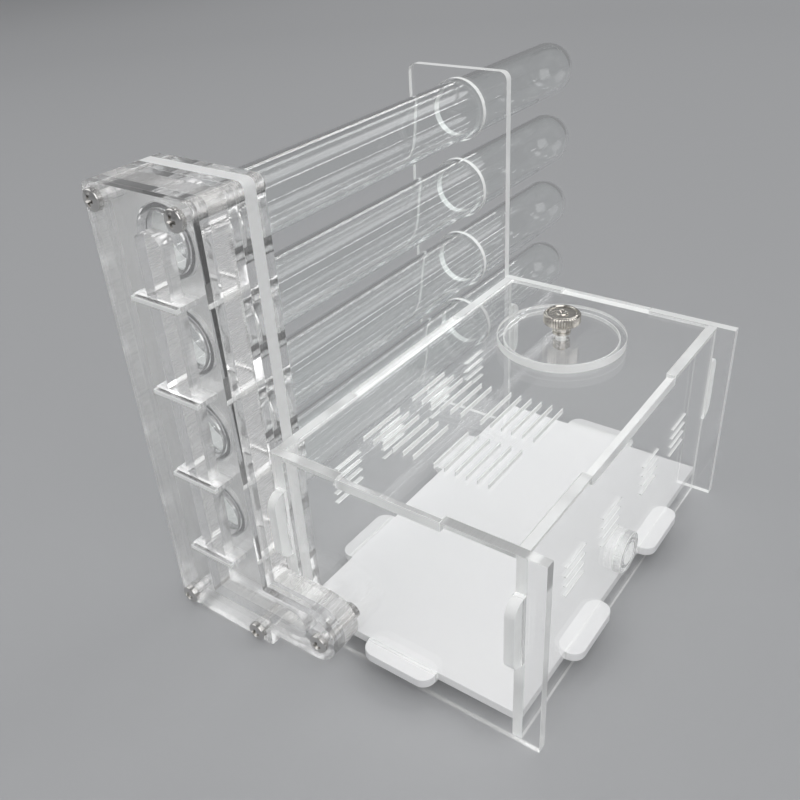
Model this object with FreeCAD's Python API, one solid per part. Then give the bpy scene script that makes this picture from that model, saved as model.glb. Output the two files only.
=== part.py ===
import FreeCAD, Part
import math
import os

# Ant habitat.  A clear foraging box on the right, four glass test tubes lying beside it, and a
# slim laminated tower at the front left that leads from the box up to the four tube mouths.
# Millimetres.  X runs to the right, Y away from the front, Z up from the table.

V = FreeCAD.Vector

# Sheet and fits
sheet = 3.0                     # clear sheet: every wall, the floor, the lid and most tower layers
joint_gap = 0.05                # left round each tab where it passes through a wall
loose_gap = 0.1                 # round the lid, the gates and the feed cap

# Foraging box, outer sizes
box_width = 80.0
box_depth = 133.0
box_height = 67.0
wall_overhang = 6.0             # near and far walls reach past the right wall

# Side wall tabs that pass through the near and far walls
side_tab_height = 23.1
side_tab_middle = 42.1
tab_proud = 4.0

# Floor panel
floor_underside = 6.4
floor_tab_length = 23.8
floor_side_tab_middle = 65.4    # midway between the two tabs on one side
floor_tab_spread = 52.3         # between those two tabs
floor_front_tab_middle = 41.0

# Lid panel, flush with the top of the walls
lid_front_tab_length = 33.0
lid_side_tab_length = 57.7
lid_side_tab_start = 36.2

# Air slits
slit_width = 0.3                # a single pass of the laser
slit_pitch = 3.4
lid_slit_middle = 38.6          # middle line of the lid's slits, a little left of the lid's own
lid_slit_length = 17.6
lid_slit_rows = 6               # each side of the slits' middle line
lid_slit_first = 19.2
lid_slit_step = 23.95
wall_slit_length = 11.5
wall_slit_rows = 4
wall_slit_lowest = 34.5
wall_slit_inner = 14.0          # from the middle of the wall to the inner group
wall_slit_outer = 37.0          # from the middle of the wall to the outer group

# Feeding hole and its cap
feed_x = 40.2
feed_back_inset = 36.3          # from the far wall's outer face to the middle of the hole
cap_diameter = 41.8
plug_diameter = 37.2
plug_gap = 0.2                  # between the plug disc and the rim of the hole

# Three-millimetre hardware
thread_diameter = 3.0
thread_gap = 0.02               # between a screw and its nut
screw_gap = 0.1                 # between a screw and the plates it passes through
screw_head_diameter = 6.0
screw_head_height = 2.4
recess_depth = 1.2
recess_length = 3.2
recess_width = 0.7
nut_flats = 5.5
nut_height = 2.4
nut_past_screw = 0.4            # a screw stops this far inside its nut's outer face
thumb_head_diameter = 12.0
thumb_head_height = 4.0
thumb_collar_diameter = 6.0
thumb_collar_height = 3.5
thumb_screw_past_nut = 1.0
knurl_teeth = 40
knurl_depth = 0.35

# Side port with its removable plug
port_y = 61.9
port_z = 21.9
port_bore_diameter = 10.0
port_ring_diameter = 13.5
port_ring_height = 2.8
port_plug_gap = 0.1
port_plug_wall = 1.2
port_plug_bottom = 1.5

# Tower
tower_width = 39.2
tower_above_tubes = 15.2        # from the top tube's centre line to the top edge
tower_side_gap = 0.3            # between the tower and the box
tower_corner = 2.2
front_plate = 2.0
front_channel = 3.0
rear_channel = 6.0
gasket = 4.0
channel_width = 9.3
channel_above_tubes = 4.0       # from the top tube's centre line to the channel's end
channel_corner = 3.0
screw_side_inset = 4.8
screw_end_inset = 4.25

# Arm from the tower foot to the box entrance
arm_end_x = 17.3                # middle of the arm's round end
arm_radius = 8.7
arm_screw_x = 21.0
entrance_x = 9.5
entrance_diameter = 10.0

# Test tubes
tube_diameter = 20.0
tube_wall = 1.2
tube_length = 204.0
tube_first = 42.0
tube_pitch = 28.2
tube_count = 4
tube_gap = 0.3                  # round a tube in the tower's guide plate and rear plate
tube_seal_gap = 0.05            # round a tube in the gasket
tube_far_gap = 0.8              # round a tube in the far wall
mouth_lip = 0.1                 # the passage plate's holes are this much inside the tube bore

# Gates between the tube levels
gate_width = 17.2
gate_thickness = 1.5
gate_proud = 1.2

# Far wall, with the tall part that carries the tubes
far_above_tubes = 14.4          # from the top tube's centre line to the top edge
far_margin = 0.5                # past the tower's left edge
far_corner = 3.0

# Places that follow from the sizes above
tower_right = -tower_side_gap
tower_left = tower_right - tower_width
tower_middle = tower_right - tower_width / 2
channel_front = -(rear_channel + front_channel)
tower_front = channel_front - front_plate
passage_back = sheet
guide_back = passage_back + sheet
gasket_back = guide_back + gasket
tower_back = gasket_back + sheet
right_inner = box_width - sheet
far_front = box_depth - sheet
floor_top = floor_underside + sheet
far_left = tower_left - far_margin
lid_underside = box_height - sheet
tube_mouth = passage_back
tube_tip = tube_mouth + tube_length
channel_left = tower_middle - channel_width / 2
channel_right = tower_middle + channel_width / 2
feed_y = box_depth - feed_back_inset
channel_floor = floor_top
entrance_z = channel_floor + entrance_diameter / 2
tube_bore = tube_diameter - 2 * tube_wall
far_hole = tube_diameter + 2 * tube_far_gap
top_tube = tube_first + tube_pitch * (tube_count - 1)
tower_top = top_tube + tower_above_tubes
channel_top = top_tube + channel_above_tubes
far_top = top_tube + far_above_tubes
wall_right = box_width + wall_overhang
foremost = tower_front - screw_head_height
port_plug_diameter = port_bore_diameter - 2 * port_plug_gap
screw_shank = thread_diameter - 2 * thread_gap
screw_hole = thread_diameter + 2 * screw_gap

# The origin is under the middle of the whole habitat, on the table.
ORIGIN = V((wall_right + far_left) / 2, (foremost + tube_tip) / 2, 0)


def slab(x0, x1, y0, y1, z0, z1):
    return Part.makeBox(x1 - x0, y1 - y0, z1 - z0, V(x0, y0, z0))


def rounded_slab(x0, x1, y0, y1, z0, z1, across, radius, picked=None):
    """A slab whose corner edges along one direction are rounded."""
    body = slab(x0, x1, y0, y1, z0, z1)
    edges = []
    for edge in body.Edges:
        run = edge.Vertexes[1].Point - edge.Vertexes[0].Point
        along = abs(run.normalize().dot(across)) > 0.99
        if along and (picked is None or picked(edge.CenterOfMass)):
            edges.append(edge)
    return body.makeFillet(radius, edges)


def rod(x, y, z, along, diameter, length):
    return Part.makeCylinder(diameter / 2, length, V(x, y, z), along)


def write(name, shape):
    shape = shape.copy()
    shape.translate(-ORIGIN)
    shape.exportStep("parts/" + name + ".step")


def tube_heights():
    return [tube_first + tube_pitch * level for level in range(tube_count)]


def gate_heights():
    return [height - tube_pitch / 2 for height in tube_heights()]


def floor_side_tab_middles():
    return [floor_side_tab_middle - floor_tab_spread / 2, floor_side_tab_middle + floor_tab_spread / 2]


# Foraging box

def side_tab_slot(x0, y0):
    """Hole that lets a side wall's tab through the near or far wall."""
    half = side_tab_height / 2 + joint_gap
    return slab(x0 - joint_gap, x0 + sheet + joint_gap, y0 - 1, y0 + sheet + 1,
                side_tab_middle - half, side_tab_middle + half)


def floor_front_slot(y0):
    half = floor_tab_length / 2 + joint_gap
    return slab(floor_front_tab_middle - half, floor_front_tab_middle + half, y0 - 1, y0 + sheet + 1,
                floor_underside - joint_gap, floor_top + joint_gap)


def lid_front_notch(y0):
    half = lid_front_tab_length / 2 + loose_gap
    middle = box_width / 2
    return slab(middle - half, middle + half, y0 - 1, y0 + sheet + 1, lid_underside, box_height + 1)


def near_wall():
    wall = slab(0, wall_right, 0, sheet, 0, box_height)
    cuts = [side_tab_slot(0, 0), side_tab_slot(right_inner, 0), floor_front_slot(0), lid_front_notch(0)]
    cuts.append(rod(entrance_x, -1, entrance_z, V(0, 1, 0), entrance_diameter, sheet + 2))
    cuts.append(rod(arm_screw_x, -1, entrance_z, V(0, 1, 0), screw_hole, sheet + 2))
    return wall.cut(cuts)


def far_wall():
    low = slab(-far_corner, wall_right, far_front, box_depth, 0, box_height)
    tall = rounded_slab(far_left, 0, far_front, box_depth, 0, far_top, V(0, 1, 0), far_corner,
                        lambda p: p.z > box_height)
    wall = tall.fuse(low).removeSplitter()
    cuts = [side_tab_slot(0, far_front), side_tab_slot(right_inner, far_front)]
    cuts.append(floor_front_slot(far_front))
    cuts.append(lid_front_notch(far_front))
    for height in tube_heights():
        cuts.append(rod(tower_middle, far_front - 1, height, V(0, 1, 0), far_hole, sheet + 2))
    return wall.cut(cuts)


def side_wall(x0):
    """Left or right wall: between the near and far walls, with one rounded tab through each."""
    wall = slab(x0, x0 + sheet, sheet, far_front, 0, box_height)
    tab_low = side_tab_middle - side_tab_height / 2
    tab_high = side_tab_middle + side_tab_height / 2
    tab = rounded_slab(x0, x0 + sheet, -tab_proud, box_depth + tab_proud, tab_low, tab_high,
                       V(1, 0, 0), tab_proud - joint_gap)
    wall = wall.fuse(tab).removeSplitter()
    cuts = []
    half = floor_tab_length / 2 + joint_gap
    for middle in floor_side_tab_middles():
        cuts.append(slab(x0 - 1, x0 + sheet + 1, middle - half, middle + half,
                         floor_underside - joint_gap, floor_top + joint_gap))
    cuts.append(slab(x0 - 1, x0 + sheet + 1, lid_side_tab_start - loose_gap,
                     lid_side_tab_start + lid_side_tab_length + loose_gap, lid_underside, box_height + 1))
    for offset in (-wall_slit_outer, -wall_slit_inner, wall_slit_inner, wall_slit_outer):
        start = box_depth / 2 + offset - wall_slit_length / 2
        for row in range(wall_slit_rows):
            z0 = wall_slit_lowest + slit_pitch * row - slit_width / 2
            cuts.append(slab(x0 - 1, x0 + sheet + 1, start, start + wall_slit_length, z0, z0 + slit_width))
    return wall.cut(cuts)


def left_wall():
    return side_wall(0)


def right_wall():
    port = rod(right_inner - 1, port_y, port_z, V(1, 0, 0), port_bore_diameter, sheet + 2)
    return side_wall(right_inner).cut(port)


def floor_panel():
    panel = slab(sheet, right_inner, sheet, far_front, floor_underside, floor_top)
    half = floor_tab_length / 2
    for middle in floor_side_tab_middles():
        panel = panel.fuse(rounded_slab(-tab_proud, box_width + tab_proud, middle - half, middle + half,
                                        floor_underside, floor_top, V(0, 0, 1), tab_proud - joint_gap))
    middle = floor_front_tab_middle
    panel = panel.fuse(rounded_slab(middle - half, middle + half, -tab_proud, box_depth + tab_proud,
                                    floor_underside, floor_top, V(0, 0, 1), tab_proud - joint_gap))
    return panel.removeSplitter()


def lid_panel():
    panel = slab(sheet + loose_gap, right_inner - loose_gap, sheet + loose_gap, far_front - loose_gap,
                 lid_underside, box_height)
    middle = box_width / 2
    half = lid_front_tab_length / 2
    panel = panel.fuse(slab(middle - half, middle + half, 0, box_depth, lid_underside, box_height))
    panel = panel.fuse(slab(0, box_width, lid_side_tab_start, lid_side_tab_start + lid_side_tab_length,
                            lid_underside, box_height))
    panel = panel.removeSplitter()
    cuts = [rod(feed_x, feed_y, lid_underside - 1, V(0, 0, 1), plug_diameter + 2 * plug_gap, sheet + 2)]
    for start in (lid_slit_first, lid_slit_first + lid_slit_step):
        for row in range(1, lid_slit_rows + 1):
            for side in (-1, 1):
                x0 = lid_slit_middle + side * slit_pitch * row - slit_width / 2
                cuts.append(slab(x0, x0 + slit_width, start, start + lid_slit_length,
                                 lid_underside - 1, box_height + 1))
    return panel.cut(cuts)


# Feed cap

def feed_cap_disc():
    disc = rod(feed_x, feed_y, box_height, V(0, 0, 1), cap_diameter, sheet)
    return disc.cut(rod(feed_x, feed_y, box_height - 1, V(0, 0, 1), screw_hole, sheet + 2))


def feed_cap_plug():
    disc = rod(feed_x, feed_y, lid_underside, V(0, 0, 1), plug_diameter, sheet)
    return disc.cut(rod(feed_x, feed_y, lid_underside - 1, V(0, 0, 1), screw_hole, sheet + 2))


def knurled_disc(x, y, z):
    """Thumb screw head: fine straight teeth round the rim, with both rims chamfered."""
    outer = thumb_head_diameter / 2
    points = []
    for tooth in range(2 * knurl_teeth):
        reach = outer if tooth % 2 == 0 else outer - knurl_depth
        angle = math.pi * tooth / knurl_teeth
        points.append(V(x + reach * math.cos(angle), y + reach * math.sin(angle), z))
    points.append(points[0])
    star = Part.Face(Part.makePolygon(points)).extrude(V(0, 0, thumb_head_height))
    disc = rod(x, y, z, V(0, 0, 1), thumb_head_diameter, thumb_head_height)
    return star.common(disc.makeChamfer(2 * knurl_depth, [disc.Edges[0], disc.Edges[2]]))


def cap_thumb_screw():
    collar_bottom = box_height + sheet
    head_bottom = collar_bottom + thumb_collar_height
    screw = knurled_disc(feed_x, feed_y, head_bottom)
    screw = screw.fuse(rod(feed_x, feed_y, collar_bottom, V(0, 0, 1), thumb_collar_diameter,
                           thumb_collar_height))
    length = 2 * sheet + nut_height + thumb_screw_past_nut
    screw = screw.fuse(rod(feed_x, feed_y, collar_bottom - length, V(0, 0, 1), screw_shank, length))
    dimple = Part.makeCone(0, thread_diameter / 2, thread_diameter / 4,
                           V(feed_x, feed_y, head_bottom + thumb_head_height - thread_diameter / 4))
    return screw.cut(dimple)


def nut(x, y, z, along):
    """Hexagon nut; its near face is at the given point."""
    corner = nut_flats / math.sqrt(3)
    points = [V(corner * math.cos(math.pi * k / 3), corner * math.sin(math.pi * k / 3), 0) for k in range(7)]
    body = Part.Face(Part.makePolygon(points)).extrude(V(0, 0, nut_height))
    rim = rod(0, 0, 0, V(0, 0, 1), 2 * corner, nut_height)
    body = body.common(rim.makeChamfer(corner - nut_flats / 2, [rim.Edges[0], rim.Edges[2]]))
    body = body.cut(rod(0, 0, -1, V(0, 0, 1), thread_diameter, nut_height + 2))
    body.Placement = FreeCAD.Placement(V(x, y, z), FreeCAD.Rotation(V(0, 0, 1), along))
    return body


def cap_nut():
    return nut(feed_x, feed_y, lid_underside - nut_height, V(0, 0, 1))


# Side port

def port_ring():
    ring = rod(box_width, port_y, port_z, V(1, 0, 0), port_ring_diameter, port_ring_height)
    return ring.cut(rod(box_width - 1, port_y, port_z, V(1, 0, 0), port_bore_diameter, port_ring_height + 2))


def port_plug():
    length = sheet + port_ring_height
    plug = rod(right_inner, port_y, port_z, V(1, 0, 0), port_plug_diameter, length)
    hollow = rod(right_inner + port_plug_bottom, port_y, port_z, V(1, 0, 0),
                 port_plug_diameter - 2 * port_plug_wall, length)
    return plug.cut(hollow)


# Tower

def tower_plate(y0, y1):
    """Upright plate with rounded top corners and the four corner screw holes."""
    plate = rounded_slab(tower_left, tower_right, y0, y1, 0, tower_top, V(0, 1, 0), tower_corner,
                         lambda p: p.z > tower_top / 2)
    return plate.cut([rod(x, y0 - 1, z, V(0, 1, 0), screw_hole, y1 - y0 + 2)
                      for x, z in tower_screw_places()])


def tower_screw_places():
    half = tower_width / 2 - screw_side_inset
    heights = (screw_end_inset, tower_top - screw_end_inset)
    return [(tower_middle + side * half, z) for side in (-1, 1) for z in heights]


def armed_plate(y0, y1):
    """Tower plate with the arm that reaches across the front of the box."""
    arm = slab(tower_middle, arm_end_x, y0, y1, entrance_z - arm_radius, entrance_z + arm_radius)
    end = rod(arm_end_x, y0, entrance_z, V(0, 1, 0), 2 * arm_radius, y1 - y0)
    plate = tower_plate(y0, y1).fuse([arm, end]).removeSplitter()
    return plate.cut(rod(arm_screw_x, y0 - 1, entrance_z, V(0, 1, 0), screw_hole, y1 - y0 + 2))


def gate_slits(y0, y1):
    """Flat slots through a tower plate, one for each gate."""
    across = gate_width / 2 + loose_gap
    half = gate_thickness / 2 + loose_gap
    return [slab(tower_middle - across, tower_middle + across, y0 - 1, y1 + 1, z - half, z + half)
            for z in gate_heights()]


def tower_front_plate():
    return armed_plate(tower_front, channel_front).cut(gate_slits(tower_front, channel_front))


def channel_plate(y0, y1):
    """Armed plate with the ants' passage cut through: along the arm, then up the tower."""
    low = slab(channel_left, entrance_x, y0 - 1, y1 + 1, channel_floor, channel_floor + entrance_diameter)
    end = rod(entrance_x, y0 - 1, entrance_z, V(0, 1, 0), entrance_diameter, y1 - y0 + 2)
    riser = rounded_slab(channel_left, channel_right, y0 - 1, y1 + 1, channel_floor, channel_top,
                         V(0, 1, 0), channel_corner, lambda p: p.z > top_tube)
    return armed_plate(y0, y1).cut([low, end, riser] + gate_slits(y0, y1))


def holed_plate(y0, y1, diameter):
    """Tower plate with a round hole at each tube."""
    return tower_plate(y0, y1).cut([rod(tower_middle, y0 - 1, z, V(0, 1, 0), diameter, y1 - y0 + 2)
                                    for z in tube_heights()])


def passage_plate():
    """Lets the ants through to the tubes, whose mouths butt on its rear face round its holes."""
    return holed_plate(0, passage_back, tube_bore - 2 * mouth_lip).cut(gate_slits(0, passage_back))


def channel_gate(height):
    """Clear slip between two tube levels; it slides out through the front plate."""
    half = gate_width / 2
    return slab(tower_middle - half, tower_middle + half, tower_front - gate_proud, passage_back - loose_gap,
                height - gate_thickness / 2, height + gate_thickness / 2)


def screw(x, z, grip):
    """Cross-recess pan head screw that enters from the front, through the plates it grips to its nut."""
    shank = rod(x, tower_front, z, V(0, 1, 0), screw_shank, grip + nut_height - nut_past_screw)
    head = rod(x, tower_front - screw_head_height, z, V(0, 1, 0), screw_head_diameter, screw_head_height)
    crown = screw_head_diameter
    ball = Part.makeSphere(crown, V(x, tower_front - screw_head_height + crown, z))
    head = head.common(ball)
    top = tower_front - screw_head_height
    cross = slab(x - recess_length / 2, x + recess_length / 2, top - 1, top + recess_depth,
                 z - recess_width / 2, z + recess_width / 2)
    cross = cross.fuse(slab(x - recess_width / 2, x + recess_width / 2, top - 1, top + recess_depth,
                            z - recess_length / 2, z + recess_length / 2))
    return shank.fuse(head).cut(cross)


def tower_screws():
    return Part.makeCompound([screw(x, z, tower_back - tower_front) for x, z in tower_screw_places()])


def tower_nuts():
    return Part.makeCompound([nut(x, tower_back, z, V(0, 1, 0)) for x, z in tower_screw_places()])


def arm_screw():
    return screw(arm_screw_x, entrance_z, sheet - tower_front)


def arm_nut():
    return nut(arm_screw_x, sheet, entrance_z, V(0, 1, 0))


# Test tubes

def test_tube(height):
    """Round-ended glass tube lying along Y with its mouth at the tower."""
    outer = tube_diameter / 2
    inner = tube_bore / 2
    straight = tube_length - outer
    body = rod(tower_middle, tube_mouth, height, V(0, 1, 0), tube_diameter, straight)
    body = body.fuse(Part.makeSphere(outer, V(tower_middle, tube_mouth + straight, height)))
    hollow = rod(tower_middle, tube_mouth - 1, height, V(0, 1, 0), 2 * inner, straight + 1)
    hollow = hollow.fuse(Part.makeSphere(inner, V(tower_middle, tube_mouth + straight, height)))
    return body.removeSplitter().cut(hollow.removeSplitter())


def main():
    os.makedirs("parts", exist_ok=True)
    write("near_wall", near_wall())
    write("far_wall", far_wall())
    write("left_wall", left_wall())
    write("right_wall", right_wall())
    write("floor_panel", floor_panel())
    write("lid_panel", lid_panel())
    write("feed_cap_disc", feed_cap_disc())
    write("feed_cap_plug", feed_cap_plug())
    write("cap_thumb_screw", cap_thumb_screw())
    write("cap_nut", cap_nut())
    write("port_ring", port_ring())
    write("port_plug", port_plug())
    write("tower_front_plate", tower_front_plate())
    write("channel_plate_front", channel_plate(channel_front, -rear_channel))
    write("channel_plate_rear", channel_plate(-rear_channel, 0))
    write("passage_plate", passage_plate())
    write("tube_guide_plate", holed_plate(passage_back, guide_back, tube_diameter + 2 * tube_gap))
    write("tube_gasket", holed_plate(guide_back, gasket_back, tube_diameter + 2 * tube_seal_gap))
    write("tower_rear_plate", holed_plate(gasket_back, tower_back, tube_diameter + 2 * tube_gap))
    write("tower_screws", tower_screws())
    write("tower_nuts", tower_nuts())
    write("arm_screw", arm_screw())
    write("arm_nut", arm_nut())
    for level, height in enumerate(gate_heights()):
        write("channel_gate_%d" % (level + 1), channel_gate(height))
    for level, height in enumerate(tube_heights()):
        write("test_tube_%d" % (level + 1), test_tube(height))


main()
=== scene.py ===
import math

import bmesh
import bpy
from mathutils import Matrix, Vector


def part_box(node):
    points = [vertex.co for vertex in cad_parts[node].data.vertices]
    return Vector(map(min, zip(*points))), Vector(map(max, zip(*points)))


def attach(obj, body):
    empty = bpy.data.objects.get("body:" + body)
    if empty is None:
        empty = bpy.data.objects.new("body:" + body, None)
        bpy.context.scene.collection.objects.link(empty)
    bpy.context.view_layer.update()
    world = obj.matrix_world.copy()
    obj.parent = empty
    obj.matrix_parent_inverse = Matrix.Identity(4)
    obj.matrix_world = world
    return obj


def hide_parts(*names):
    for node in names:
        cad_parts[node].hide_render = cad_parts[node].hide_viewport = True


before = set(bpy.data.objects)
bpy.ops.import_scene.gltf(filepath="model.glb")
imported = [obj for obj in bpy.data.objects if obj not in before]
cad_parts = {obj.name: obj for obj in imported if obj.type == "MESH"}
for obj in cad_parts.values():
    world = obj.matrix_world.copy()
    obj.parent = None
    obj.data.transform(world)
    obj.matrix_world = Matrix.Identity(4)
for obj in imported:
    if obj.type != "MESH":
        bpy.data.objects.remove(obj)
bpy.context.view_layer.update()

# Ant habitat: the finish of every sheet, tube and fastener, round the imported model.
# Metres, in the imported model's frame.  Angles are in degrees.

mm = 0.001

# Camera: where it stands, and how it is turned
camera_place = Vector((0.128054, -0.231729, 0.207846))
camera_heading = 37.661         # left of straight back
camera_tilt = 32.471            # down from level
camera_roll = -3.746
camera_lens = 39.601            # in mm, on a sensor that is camera_sensor wide
camera_sensor = 36

# Floor and sky
floor_reach = 12.0
floor_drop = 0.05 * mm          # the floor lies this far under the habitat
floor_colour = (0.44, 0.445, 0.455, 1)
floor_far_colour = (0.90, 0.90, 0.91, 1)
floor_pales = (1.0, 4.5)        # the distances between which the one turns into the other
floor_roughness = 0.6
sky_colour = (0.50, 0.505, 0.515, 1)
sky_strength = 0.5

# Lamps: soft ones aimed at the habitat, and strips parallel to the tubes, behind and above them
lamp_aim = Vector((0.0, 0.0, 0.05))
tubes_middle = (-0.04, 0.08)    # x and z of the line that the strips are placed round
strip_reach = 1.2               # the strips' distance from that line
strip_start = 0.5               # their near ends, along Y
strip_end = 1.7

# Sheet finish
seam_gap = 0.02 * mm            # air left on each face where plates lie on one another
edge_round = 0.2 * mm           # the cut edges are eased by this much
slit_edge_round = 0.12 * mm     # and these, on the panels with air slits
edge_steps = 2
edge_angle = 40                 # edges that turn by more than this are eased
flat_angle = 0.5                # faces that turn by less than this become one
weld_reach = 0.001 * mm
# How squarely a face looks along the sheet's thin axis: 1 on the polished faces, 0 on the cut edges
cut_facing = (0.85, 0.45)       # from polished to cut
eased_from_cut = (0.12, 0.35)   # from a cut edge to its eased corner
eased_from_face = (0.98, 0.88)  # from a polished face to the eased corner
laser_line_scale = 3200         # the lines that the laser leaves in a cut edge
laser_line_draw = 0.02          # draws them out through the sheet: under 1 is longer
laser_line_depth = 0.01 * mm
tab_fade = 0.5 * mm             # the side walls' tabs turn milky, a painted brightness, over this length
# how milky the tabs are made: painted brightness for the light they catch
tab_painted_milk = 0.8
tab_haze = 0.8

# Fasteners
head_radius = 3.0 * mm
head_height = 2.4 * mm
head_crown = 0.55 * mm          # how far the head's face domes out
head_crown_steps = 5
head_rim = 0.45 * mm            # rounding between the dome and the straight side
head_rim_steps = 6
head_seat_bevel = 0.1 * mm
head_sides = 48
shank_radius = 1.48 * mm
recess_span = 3.6 * mm
recess_span_left = 0.45         # share of the span that is left at the bottom
recess_width = 0.95 * mm
recess_width_left = 0.8
recess_depth = 1.5 * mm
recess_overcut = 0.3 * mm       # the cutter starts this far in front of the head
thread_pitch = 0.5 * mm
thread_depth = 0.27 * mm
thread_wear = 0.03 * mm         # worn off the thread's crest
thread_sides = 28
screw_crease = 32               # edges sharper than this stay sharp

# Feed cap's knob
knob_height = 4.0 * mm
knob_collar_height = 3.5 * mm
knob_collar_radius = 3.0 * mm
knob_collar_sides = 64
knob_groove = 0.25 * mm         # depth of the groove turned in the collar
knob_teeth = 40
knob_tooth_outline = (0, 0.5, 1, 0.5)
knob_tooth_depth = 0.4 * mm
knob_bevel = 0.9 * mm           # from the teeth's tips in to the flat faces
knob_land = 4.7 * mm            # the top's outer land ends and its turned recess begins
knob_recess = 0.45 * mm         # depth of that recess
knob_boss = 2.1 * mm            # raised middle of the top
knob_dimple = 1.1 * mm          # cone in the middle of the boss
knob_dimple_depth = 0.7 * mm
knob_crease = 28

# Glass tubes
tube_wall = 1.2 * mm
tube_sides = 96
tube_end_steps = 28
tube_lip_steps = 8
tube_rings = 40                 # along the straight part, so that its shading stays true
tube_crease = 60

tube_levels = range(1, 5)       # the tubes and gates are numbered from the bottom

# Refraction
sheet_ior = 1.49
glass_ior = 1.47
plug_ior = 1.46
gasket_ior = 1.41

white = (1, 1, 1, 1)
noise_span = (0.3, 0.7)         # most of a noise texture lies between these


# Node helpers

def set_sockets(tree, shader, values):
    """Gives each socket its value, or links it to another node's output."""
    for key, value in values.items():
        if isinstance(value, bpy.types.NodeSocket):
            tree.links.new(value, shader.inputs[key])
        else:
            shader.inputs[key].default_value = value


def node(tree, kind, sockets, **settings):
    """Adds a node with its settings, and sets its sockets."""
    made = tree.nodes.new(kind)
    for key, value in settings.items():
        setattr(made, key, value)
    set_sockets(tree, made, sockets)
    return made


def math_node(tree, operation, a, b=0.0):
    return node(tree, "ShaderNodeMath", {0: a, 1: b}, operation=operation).outputs[0]


def remap(tree, value, span, target):
    """Carries the span's two ends over to the target's, and stops at both."""
    made = node(tree, "ShaderNodeMapRange", {"Value": value, "From Min": span[0], "From Max": span[1],
                                             "To Min": target[0], "To Max": target[1]})
    return made.outputs["Result"]


def coordinate(tree, kind):
    """The object's own coordinates: kind is Object for the place and Normal for the facing."""
    return node(tree, "ShaderNodeTexCoord", {}).outputs[kind]


def component(tree, vector, axis):
    return node(tree, "ShaderNodeSeparateXYZ", {0: vector}).outputs[axis]


def grain(tree, scale, stretch=(1, 1, 1), detail=3.0, roughness=0.55):
    """Noise in the object's own space; a stretch under 1 draws it out along that axis."""
    sized = node(tree, "ShaderNodeMapping", {"Vector": coordinate(tree, "Object"), "Scale": stretch})
    made = node(tree, "ShaderNodeTexNoise", {"Vector": sized.outputs["Vector"], "Scale": scale,
                                             "Detail": detail, "Roughness": roughness})
    return made.outputs["Fac"]


def bump(tree, height, distance):
    return node(tree, "ShaderNodeBump", {"Height": height, "Distance": distance}).outputs["Normal"]


def colour_mix(tree, factor, a, b):
    """From colour a at 0 to colour b at 1."""
    made = node(tree, "ShaderNodeMix", {"Factor": factor, "A": a, "B": b}, data_type="RGBA")
    return made.outputs[2]


def new_material(name):
    material = bpy.data.materials.new(name)
    material.use_nodes = True
    return material, material.node_tree, material.node_tree.nodes["Principled BSDF"]


def let_lamps_through(tree, shader, passed):
    """Clear pieces shade what lies behind them only a little."""
    ray = node(tree, "ShaderNodeLightPath", {}).outputs["Is Shadow Ray"]
    clear = node(tree, "ShaderNodeBsdfTransparent", {"Color": passed})
    mixed = node(tree, "ShaderNodeMixShader", {0: ray, 1: shader.outputs[0], 2: clear.outputs[0]})
    tree.links.new(mixed.outputs[0], tree.nodes["Material Output"].inputs["Surface"])


# Materials

def tab_painted_light(tree, near, far):
    """How milky the side walls' tabs are made, a painted brightness for the light they catch: they stand out
    along Y past the near and far places.
    """
    along = component(tree, coordinate(tree, "Object"), 1)
    near_tab = remap(tree, along, (near, near - tab_fade), (0, tab_painted_milk))
    far_tab = remap(tree, along, (far, far + tab_fade), (0, tab_painted_milk))
    return math_node(tree, "MAXIMUM", near_tab, far_tab)


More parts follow.
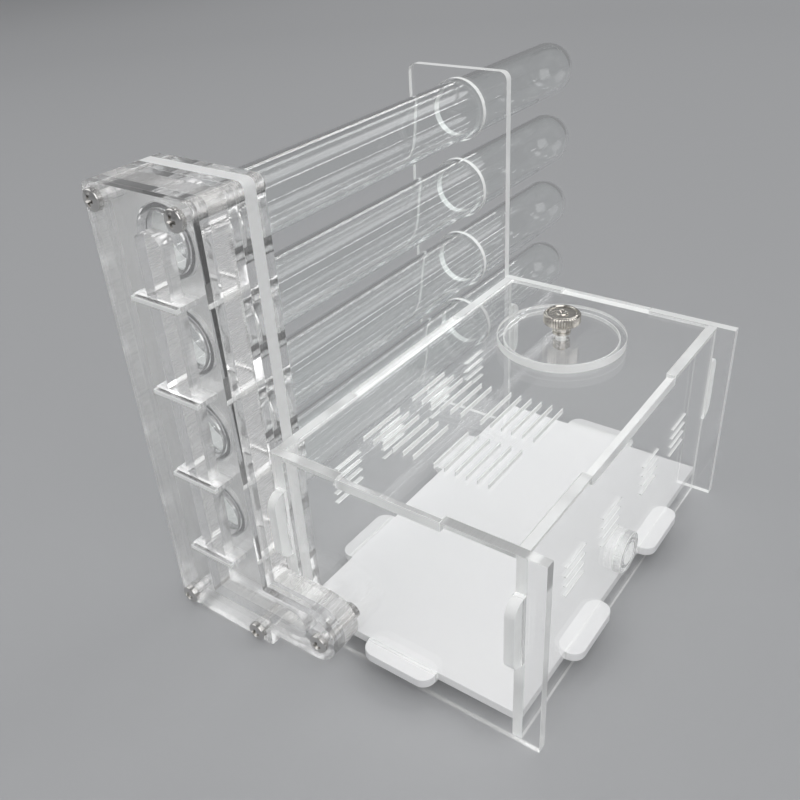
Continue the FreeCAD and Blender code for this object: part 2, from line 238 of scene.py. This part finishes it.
def acrylic_sheet(name, axis, edge_milk_and_glow, haze, laser, edge_colour=(0.97, 0.98, 0.97, 1), clear_between=None):
    """Clear cast sheet, thin along one axis: polished faces, and cut edges with the fine lines
    that the laser leaves through the thickness.  An edge is as milky, hazy and lined as given;
    its milkiness is partly the cut's real frost and partly a painted glow for light piped through
    the sheet, and the milky parts take the given colour.  Its eased corners are made white, a
    painted highlight along each edge.  With clear_between, what stands out past these two places
    along Y is made milky all over, a painted brightness for the light that the tabs catch."""
    material, tree, shader = new_material(name)
    facing = math_node(tree, "ABSOLUTE", component(tree, coordinate(tree, "Normal"), axis))
    edge = remap(tree, facing, cut_facing, (0, 1))
    # the eased corners are made white: a painted highlight along each edge
    painted_edge_highlight = math_node(tree, "MULTIPLY", remap(tree, facing, eased_from_cut, (0, 1)),
                      remap(tree, facing, eased_from_face, (0, 1)))
    through = [1.0, 1.0, 1.0]
    through[axis] = laser_line_draw
    lines = grain(tree, laser_line_scale, through, roughness=0.6)
    smears = grain(tree, 45, detail=2.0)
    # an edge's milkiness: partly the cut's real frost, partly a painted glow for light piped through the
    # sheet
    lined = remap(tree, lines, noise_span, ((1 - laser) * edge_milk_and_glow, (1 + laser) * edge_milk_and_glow))
    # the milky parts: real frost together with the painted glow, the painted edge highlights and the painted
    # tab light
    milk_and_painted_light = math_node(tree, "MAXIMUM", math_node(tree, "MULTIPLY", edge, lined), painted_edge_highlight)
    polish = remap(tree, smears, (0.45, 0.75), (0, 0.02))
    if clear_between:
        # the tabs are made milky: a painted brightness for the light they catch
        tab_light = tab_painted_light(tree, *clear_between)
        milk_and_painted_light = math_node(tree, "MAXIMUM", milk_and_painted_light, tab_light)
        polish = math_node(tree, "MAXIMUM", polish, math_node(tree, "MULTIPLY", tab_light, tab_haze))
    set_sockets(tree, shader, {
        "Base Color": colour_mix(tree, milk_and_painted_light, white, edge_colour),
        "Roughness": math_node(tree, "MAXIMUM", polish, math_node(tree, "MULTIPLY", edge, haze)),
        "Transmission Weight": math_node(tree, "SUBTRACT", 1.0, milk_and_painted_light),
        "Normal": bump(tree, math_node(tree, "MULTIPLY", lines, edge), laser_line_depth * laser),
        "IOR": sheet_ior,
    })
    let_lamps_through(tree, shader, (0.93, 0.93, 0.93, 1))
    return material


def milky_rubber():
    """The tubes' seal: cloudy, and a little light passes."""
    material, tree, shader = new_material("milky_gasket")
    clouds = grain(tree, 120, detail=4.0)
    set_sockets(tree, shader, {
        "Base Color": colour_mix(tree, clouds, (0.93, 0.94, 0.94, 1), (0.97, 0.97, 0.96, 1)),
        "Roughness": remap(tree, clouds, noise_span, (0.38, 0.55)),
        "Normal": bump(tree, clouds, 0.03 * mm),
        "Transmission Weight": 0.2,
        "IOR": gasket_ior,
    })
    let_lamps_through(tree, shader, (0.75, 0.75, 0.75, 1))
    return material


def white_sheet():
    """Satin white floor panel, faintly mottled."""
    material, tree, shader = new_material("white_floor")
    mottle = grain(tree, 30, detail=4.0)
    pores = grain(tree, 1500, detail=2.0)
    set_sockets(tree, shader, {
        "Base Color": colour_mix(tree, mottle, (0.84, 0.84, 0.85, 1), (0.88, 0.88, 0.88, 1)),
        "Roughness": remap(tree, pores, noise_span, (0.30, 0.46)),
        "Normal": bump(tree, pores, 0.01 * mm),
        "IOR": sheet_ior,
    })
    return material


def drawn_glass():
    """Glass with faint ripples and smears along the tube."""
    material, tree, shader = new_material("tube_glass")
    ripples = grain(tree, 420, stretch=(1, 0.01, 1), detail=2.0)
    smears = grain(tree, 60, stretch=(1, 0.35, 1))
    set_sockets(tree, shader, {
        "Base Color": colour_mix(tree, smears, (0.985, 1.0, 0.995, 1), white),
        "Roughness": remap(tree, smears, (0.55, 0.8), (0, 0.03)),
        "Normal": bump(tree, ripples, 0.006 * mm),
        "Transmission Weight": 1.0,
        "IOR": glass_ior,
    })
    let_lamps_through(tree, shader, (0.96, 0.97, 0.97, 1))
    return material


def soft_plastic():
    """The port's plug: clear, with faint flow marks."""
    material, tree, shader = new_material("clear_plug")
    flow = grain(tree, 260)
    set_sockets(tree, shader, {
        "Base Color": colour_mix(tree, flow, (0.96, 0.97, 0.97, 1), white),
        "Roughness": remap(tree, flow, noise_span, (0.02, 0.12)),
        "Normal": bump(tree, flow, 0.02 * mm),
        "Transmission Weight": 0.95,
        "IOR": plug_ior,
    })
    let_lamps_through(tree, shader, (0.9, 0.9, 0.9, 1))
    return material


def metal(name, dark, light, roughness, stretch):
    """Plated metal: worn between two tones, with turning marks drawn out by the stretch."""
    material, tree, shader = new_material(name)
    wear = grain(tree, 320, detail=4.0)
    turning = grain(tree, 5200, stretch, detail=2.0)
    set_sockets(tree, shader, {
        "Base Color": colour_mix(tree, wear, dark, light),
        "Roughness": remap(tree, wear, noise_span, roughness),
        "Normal": bump(tree, turning, 0.006 * mm),
        "Metallic": 1.0,
    })
    return material


# Meshes

def add_object(name, data):
    made = bpy.data.objects.new(name, data)
    bpy.context.scene.collection.objects.link(made)
    return made


def mesh_object(name, bm):
    """Turns a bmesh into an object."""
    bmesh.ops.recalc_face_normals(bm, faces=bm.faces)
    mesh = bpy.data.meshes.new(name)
    bm.to_mesh(mesh)
    bm.free()
    return add_object(name, mesh)


def shade(obj, crease):
    """Smooth, apart from edges sharper than the crease."""
    obj.data.polygons.foreach_set("use_smooth", [True] * len(obj.data.polygons))
    obj.data.set_sharp_from_angle(angle=math.radians(crease))


def middle(low, high):
    return (low + high) / 2


def sweep(start, end, steps):
    """The ends of that many even steps from start to end, with start itself as the first."""
    return [start + (end - start) * (step / steps) for step in range(steps + 1)]


def add_ring(bm, centre, along, radii):
    """Vertices round the Y axis through centre, one at each of the radii."""
    ring = []
    for side, radius in enumerate(radii):
        turn = 2 * math.pi * side / len(radii)
        spoke = Vector((radius * math.sin(turn), along, radius * math.cos(turn)))
        ring.append(bm.verts.new(centre + spoke))
    return ring


def join_rings(bm, rings):
    """Faces from each ring to the next; a ring of one vertex is a pole."""
    for a, b in zip(rings, rings[1:]):
        sides = max(len(a), len(b))
        for side in range(sides):
            after = (side + 1) % sides
            if len(a) == 1:
                bm.faces.new((a[0], b[after], b[side]))
            elif len(b) == 1:
                bm.faces.new((a[side], a[after], b[0]))
            else:
                bm.faces.new((a[side], a[after], b[after], b[side]))


def lathe(bm, profile, centre, sides):
    """Turns a profile of (distance along +Y, radius) points about the Y axis through centre.
    A radius of 0 makes a pole."""
    join_rings(bm, [add_ring(bm, centre, along, [radius] * (sides if radius > 0 else 1))
                    for along, radius in profile])


def glass_tube(level):
    """A test tube with its round end at the far side and a fire-polished lip at the mouth."""
    name = "test_tube_%d" % level
    low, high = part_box(name)
    outer = (high.x - low.x) / 2
    inner = outer - tube_wall
    half_wall = tube_wall / 2
    dome = high.y - low.y - outer
    straight = sweep(dome, half_wall, tube_rings)[1:-1]
    profile = [(dome + outer * math.cos(turn), outer * math.sin(turn))
               for turn in sweep(0, math.pi / 2, tube_end_steps)]
    profile += [(along, outer) for along in straight]
    profile += [(half_wall * (1 - math.sin(turn)), outer - half_wall * (1 - math.cos(turn)))
                for turn in sweep(0, math.pi, tube_lip_steps)]
    profile += [(along, inner) for along in reversed(straight)]
    profile += [(dome + inner * math.cos(turn), inner * math.sin(turn))
                for turn in sweep(math.pi / 2, 0, tube_end_steps)]
    bm = bmesh.new()
    lathe(bm, profile, Vector((middle(low.x, high.x), low.y, middle(low.z, high.z))), tube_sides)
    tube = mesh_object("glass_tube_%d" % level, bm)
    shade(tube, tube_crease)
    tube.data.materials.append(glass)
    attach(tube, "tube_%d" % level)
    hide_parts(name)


def add_thread(bm, centre, start, end):
    """A threaded shank along +Y from start to end: one vee winding round and round."""
    crest = shank_radius - thread_wear
    root = shank_radius - thread_depth
    vee = ((0.0, crest), (0.10, crest), (0.42, root), (0.68, root))     # share of the pitch, radius
    turns = int((end - start) / thread_pitch) + 2
    grid = []
    for turn in range(-1, turns):
        for rise, radius in vee:
            row = []
            for side in range(thread_sides + 1):
                share = side / thread_sides
                along = start + (turn + rise + share) * thread_pitch
                along = min(max(along, start), end)
                angle = 2 * math.pi * share
                row.append(bm.verts.new(centre + Vector((radius * math.sin(angle), along,
                                                         radius * math.cos(angle)))))
            grid.append(row)
    for a, b in zip(grid, grid[1:]):
        for side in range(thread_sides):
            bm.faces.new((a[side], a[side + 1], b[side + 1], b[side]))


def cross_recess(x, z, face):
    """The tapered cross that a screwdriver fits, as a cutter of two crossed bars."""
    bm = bmesh.new()
    for long_way in (0, 1):
        top = [recess_width / 2, recess_width / 2]
        top[long_way] = recess_span / 2
        bottom = [half * recess_width_left for half in top]
        bottom[long_way] = top[long_way] * recess_span_left
        corners = []
        for y, (half_x, half_z) in ((face - recess_overcut, top), (face + recess_depth, bottom)):
            corners.append([bm.verts.new((x + sign_x * half_x, y, z + sign_z * half_z))
                            for sign_x, sign_z in ((-1, -1), (1, -1), (1, 1), (-1, 1))])
        front, back = corners
        bm.faces.new(front[::-1])
        bm.faces.new(back)
        join_rings(bm, corners)
    return mesh_object("cutter", bm)


def pan_head_screw(name, x, z, face, end):
    """One screw along +Y: a domed head with a cross recess, and a threaded shank to its end."""
    flat = head_radius - head_rim
    profile = [(head_crown * share ** 2, flat * share) for share in sweep(0, 1, head_crown_steps)]
    profile += [(head_crown + head_rim * (1 - math.cos(turn)), flat + head_rim * math.sin(turn))
                for turn in sweep(0, math.pi / 2, head_rim_steps)[1:]]
    profile += [(head_height - head_seat_bevel, head_radius),
                (head_height, head_radius - head_seat_bevel), (head_height, 0)]
    bm = bmesh.new()
    lathe(bm, profile, Vector((x, face, z)), head_sides)
    head = mesh_object(name + "_head", bm)
    cutter = cross_recess(x, z, face)
    cut = head.modifiers.new("recess", "BOOLEAN")
    cut.object = cutter
    cut.operation = "DIFFERENCE"
    cut.solver = "EXACT"
    cut.use_self = True
    ready = bpy.data.meshes.new_from_object(head.evaluated_get(bpy.context.evaluated_depsgraph_get()))
    bm = bmesh.new()
    bm.from_mesh(ready)
    add_thread(bm, Vector((x, 0, z)), face + head_height, end)
    for extra in (head, cutter):
        bpy.data.objects.remove(extra)
    made = mesh_object(name, bm)
    shade(made, screw_crease)
    return made


def tower_screw_set():
    """The four long screws of the tower as one piece."""
    low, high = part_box("tower_screws")
    whole = bmesh.new()
    for x in (low.x + head_radius, high.x - head_radius):
        for z in (low.z + head_radius, high.z - head_radius):
            screw = pan_head_screw("tower_screw", x, z, low.y, high.y)
            whole.from_mesh(screw.data)
            bpy.data.objects.remove(screw)
    made = mesh_object("tower_screw_set", whole)
    shade(made, screw_crease)
    made.data.materials.append(steel)
    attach(made, "habitat")
    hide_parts("tower_screws")


def short_screw():
    """The screw through the arm and the near wall."""
    low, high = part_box("arm_screw")
    made = pan_head_screw("arm_pan_screw", middle(low.x, high.x), middle(low.z, high.z), low.y, high.y)
    made.data.materials.append(steel)
    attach(made, "habitat")
    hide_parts("arm_screw")


def add_knurled_head(bm, head, top, reach):
    """The knob's head, from its underside to its turned top."""
    face = reach - knob_bevel
    floor = top - knob_recess
    # Each row is a height, a radius and the share of their depth that the teeth have there
    rows = [
        # the underside's bevel, the straight side and the top's bevel
        (head, face, 0), (head + 0.12 * mm, face + 0.15 * mm, 0.1), (head + 0.6 * mm, reach, 1),
        (top - 0.75 * mm, reach, 1), (top - 0.22 * mm, face + 0.4 * mm, 0.1),
        (top - 0.05 * mm, face + 0.15 * mm, 0), (top, face, 0),
        # the outer land and the step down into the recess
        (top, knob_land, 0), (top - 0.06 * mm, knob_land - 0.06 * mm, 0),
        (floor + 0.05 * mm, knob_land - 0.2 * mm, 0), (floor, knob_land - 0.3 * mm, 0),
        (floor, knob_land - 0.4 * mm, 0),
        # the step up to the boss
        (floor, knob_boss + 0.3 * mm, 0), (floor, knob_boss + 0.2 * mm, 0),
        (floor + 0.07 * mm, knob_boss + 0.1 * mm, 0), (top - 0.1 * mm, knob_boss, 0),
        (top - 0.02 * mm, knob_boss - 0.08 * mm, 0), (top, knob_boss - 0.2 * mm, 0),
        # the dimple in its middle
        (top, knob_dimple, 0), (top - 0.05 * mm, knob_dimple - 0.1 * mm, 0),
        (top - knob_dimple_depth + 0.1 * mm, knob_dimple - 0.8 * mm, 0)]
    outline = knob_tooth_outline * knob_teeth
    rings = [add_ring(bm, Vector(), height, [radius - share * knob_tooth_depth * inset for inset in outline])
             for height, radius, share in rows]
    join_rings(bm, rings + [add_ring(bm, Vector(), top - knob_dimple_depth, [0])])
    lathe(bm, [(head, 0), (head, face), (head + 0.05 * mm, 0)], Vector(), len(outline))


def add_collar(bm, seat, head):
    """The knob's collar: its foot, a groove and a flare up to the head."""
    rim = knob_collar_radius
    groove = rim - knob_groove
    profile = [(seat, 0), (seat, rim - 0.2 * mm), (seat + 0.15 * mm, rim),
               (seat + 0.9 * mm, rim), (seat + 1.05 * mm, groove),
               (seat + 1.35 * mm, groove), (seat + 1.5 * mm, rim),
               (head - 0.7 * mm, rim), (head - 0.3 * mm, rim + 0.15 * mm),
               (head + 0.02 * mm, rim + 0.6 * mm), (head + 0.02 * mm, 0)]
    lathe(bm, profile, Vector(), knob_collar_sides)


def thumb_screw():
    """The feed cap's knob: a knurled head with a turned top, a collar and a threaded shank.
    It is built along +Y from the shank's end, and then stood up."""
    low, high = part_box("cap_thumb_screw")
    top = high.z - low.z
    head = top - knob_height
    seat = head - knob_collar_height
    bm = bmesh.new()
    add_knurled_head(bm, head, top, (high.x - low.x) / 2)
    add_collar(bm, seat, head)
    add_thread(bm, Vector(), 0, seat)
    lathe(bm, [(0, 0), (0, shank_radius - thread_depth), (0.1 * mm, 0)], Vector(), thread_sides)
    place = Vector((middle(low.x, high.x), middle(low.y, high.y), low.z))
    bm.transform(Matrix.Translation(place) @ Matrix.Rotation(math.pi / 2, 4, "X"))
    made = mesh_object("cap_knob", bm)
    shade(made, knob_crease)
    made.data.materials.append(nickel)
    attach(made, "cap_screw")
    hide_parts("cap_thumb_screw")


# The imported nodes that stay: eased edges and materials

def finish_plate(name, material, rounding=edge_round):
    """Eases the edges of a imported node, unless the rounding is 0, and gives it its material."""
    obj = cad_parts[name]
    obj.data.materials.clear()
    obj.data.materials.append(material)
    weld = obj.modifiers.new("weld", "WELD")
    weld.merge_threshold = weld_reach
    shrink = obj.modifiers.new("seam", "DISPLACE")
    shrink.strength = -seam_gap
    shrink.mid_level = 0.0
    flat = obj.modifiers.new("flat", "DECIMATE")
    flat.decimate_type = "DISSOLVE"
    flat.angle_limit = math.radians(flat_angle)
    if rounding:
        bevel = obj.modifiers.new("eased_edges", "BEVEL")
        bevel.width = rounding
        bevel.segments = edge_steps
        bevel.limit_method = "ANGLE"
        bevel.angle_limit = math.radians(edge_angle)
        bevel.harden_normals = False
    even = obj.modifiers.new("even", "WEIGHTED_NORMAL")
    even.keep_sharp = False


# Stage: camera, floor, sky, lamps

def build_camera():
    data = bpy.data.cameras.new("camera")
    data.lens = camera_lens
    data.sensor_width = camera_sensor
    data.clip_start = 0.01
    data.clip_end = 100
    made = add_object("camera", data)
    turn = (Matrix.Rotation(math.radians(camera_heading), 4, "Z")
            @ Matrix.Rotation(math.radians(90 - camera_tilt), 4, "X")
            @ Matrix.Rotation(math.radians(camera_roll), 4, "Z"))
    made.matrix_world = Matrix.Translation(camera_place) @ turn
    bpy.context.scene.camera = made


def build_floor():
    """A plain floor, so wide that it fills every view, and paler far away."""
    mesh = bpy.data.meshes.new("studio_floor")
    corners = [(x * floor_reach, y * floor_reach, 0) for x, y in ((-1, -1), (1, -1), (1, 1), (-1, 1))]
    mesh.from_pydata(corners, [], [(0, 1, 2, 3)])
    floor = add_object("studio_floor", mesh)
    floor.location.z = -floor_drop
    material, tree, shader = new_material("studio_floor")
    away = node(tree, "ShaderNodeVectorMath", {0: coordinate(tree, "Object")}, operation="LENGTH")
    paler = remap(tree, away.outputs["Value"], floor_pales, (0, 1))
    set_sockets(tree, shader, {
        "Base Color": colour_mix(tree, paler, floor_colour, floor_far_colour),
        "Roughness": floor_roughness,
    })
    mesh.materials.append(material)


def build_sky():
    world = bpy.data.worlds.new("studio")
    world.use_nodes = True
    sky = world.node_tree.nodes["Background"]
    sky.inputs["Color"].default_value = sky_colour
    sky.inputs["Strength"].default_value = sky_strength
    bpy.context.scene.world = world


def add_lamp(name, place, turn, size, power):
    """A rectangular lamp, turned as given.  It shines against its own Z axis."""
    data = bpy.data.lights.new(name, "AREA")
    data.shape = "RECTANGLE"
    data.size, data.size_y = size
    data.energy = power
    made = add_object(name, data)
    made.matrix_world = Matrix.Translation(place) @ turn.to_4x4()


def soft_lamp(name, place, size, power):
    """A square lamp aimed at the habitat."""
    turn = (lamp_aim - Vector(place)).to_track_quat("-Z", "Y").to_matrix()
    add_lamp(name, Vector(place), turn, (size, size), power)


def strip_lamp(name, angle, width, power):
    """A long lamp beside and above the tubes, parallel to them, so that its reflection in a tube
    is a straight streak.  The angle is taken round the tubes' direction, up from the right."""
    along = Vector((0, 1, 0))
    outward = Vector((math.cos(math.radians(angle)), 0, math.sin(math.radians(angle))))
    line = Vector((tubes_middle[0], middle(strip_start, strip_end), tubes_middle[1]))
    turn = Matrix((along.cross(outward), along, outward)).transposed()
    add_lamp(name, line + outward * strip_reach, turn, (width, strip_end - strip_start), power)


# The scene: stage, materials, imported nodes, finer pieces

build_camera()
build_floor()
build_sky()
soft_lamp("key", (0.85, -0.7, 1.05), size=1.5, power=12.0)
soft_lamp("fill", (-1.0, -0.5, 0.8), size=1.2, power=5.0)
strip_lamp("back", 75, width=0.5, power=3.0)
strip_lamp("streak_1", 50, width=0.05, power=1.2)
strip_lamp("streak_2", 110, width=0.06, power=1.2)
strip_lamp("streak_3", 145, width=0.06, power=1.2)

glass = drawn_glass()
walls_outside = (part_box("near_wall")[0].y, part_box("far_wall")[1].y)
side_sheet = acrylic_sheet("clear_acrylic_x", axis=0, edge_milk_and_glow=0.68, haze=0.34, laser=0.10,
                           clear_between=walls_outside)
far_sheet = acrylic_sheet("clear_acrylic_y", axis=1, edge_milk_and_glow=0.88, haze=0.50, laser=0.06)
near_sheet = acrylic_sheet("clear_acrylic_near", axis=1, edge_milk_and_glow=0.50, haze=0.24, laser=0.06)
lid_sheet = acrylic_sheet("clear_acrylic_z", axis=2, edge_milk_and_glow=0.68, haze=0.34, laser=0.12)
tower_sheet = acrylic_sheet("clear_acrylic_tower", axis=1, edge_milk_and_glow=0.14, haze=0.07, laser=0.30)
# the channel's milky cut walls are cream: a painted reflection of warm light
channel_sheet = acrylic_sheet("clear_acrylic_channel", axis=1, edge_milk_and_glow=0.24, haze=0.07, laser=0.40,
                              edge_colour=(0.99, 0.975, 0.94, 1))
gate_sheet = acrylic_sheet("clear_acrylic_gate", axis=2, edge_milk_and_glow=0.80, haze=0.40, laser=0.15)
gasket = milky_rubber()
floor_sheet = white_sheet()
plug = soft_plastic()
ring_sheet = acrylic_sheet("clear_acrylic_ring", axis=0, edge_milk_and_glow=0.25, haze=0.15, laser=0.08)
nickel = metal("nickel", (0.58, 0.55, 0.50, 1), (0.76, 0.73, 0.68, 1), roughness=(0.10, 0.22),
               stretch=(0.02, 0.02, 1))
steel = metal("steel", (0.56, 0.55, 0.54, 1), (0.74, 0.73, 0.71, 1), roughness=(0.10, 0.24),
              stretch=(1, 0.02, 1))

finish_plate("near_wall", near_sheet)
finish_plate("far_wall", far_sheet)
for plate in ("tower_front_plate", "channel_plate_front", "passage_plate", "tube_guide_plate",
              "tower_rear_plate"):
    finish_plate(plate, tower_sheet)
finish_plate("channel_plate_rear", channel_sheet)
for plate in ("left_wall", "right_wall"):
    finish_plate(plate, side_sheet, slit_edge_round)
finish_plate("lid_panel", lid_sheet, slit_edge_round)
for plate in ("feed_cap_disc", "feed_cap_plug"):
    finish_plate(plate, lid_sheet)
for level in tube_levels:
    finish_plate("channel_gate_%d" % level, gate_sheet)
finish_plate("tube_gasket", gasket)
finish_plate("floor_panel", floor_sheet)
finish_plate("port_ring", ring_sheet)
finish_plate("port_plug", plug)
for part in ("cap_nut", "tower_nuts", "arm_nut"):
    finish_plate(part, steel, 0)

for level in tube_levels:
    glass_tube(level)
tower_screw_set()
short_screw()
thumb_screw()

# The tower is seen through many clear layers, so light needs many bounces
scene = bpy.context.scene
scene.view_settings.view_transform = "Standard"
scene.cycles.max_bounces = 32
scene.cycles.transmission_bounces = 32
scene.cycles.transparent_max_bounces = 48
scene.cycles.glossy_bounces = 8
